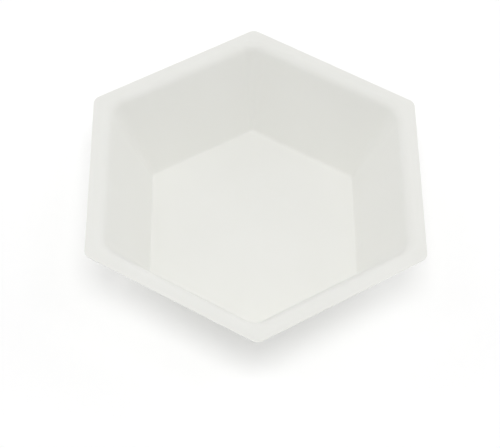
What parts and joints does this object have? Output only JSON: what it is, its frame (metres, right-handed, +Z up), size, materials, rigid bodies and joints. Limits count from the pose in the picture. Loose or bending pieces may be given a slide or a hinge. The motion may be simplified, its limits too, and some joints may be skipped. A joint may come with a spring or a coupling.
{
  "type": "weighing boat",
  "caption": "Hexagonal weighing dish formed in one piece from thin white plastic, with a flat floor, sloping walls and a flat rim all round for lifting and pouring.",
  "frame": {"origin": "centre of the floor's underside, on the surface that the dish stands on", "axes": "+Z up out of the dish, X across two flats of the hexagon, Y through two of its corners"},
  "size_m": [0.078, 0.0894, 0.0206],
  "materials": {
    "sheet": "smooth matte white polystyrene sheet"
  },
  "bodies": {
    "root": {"dish": "sheet"}
  },
  "joints": []
}
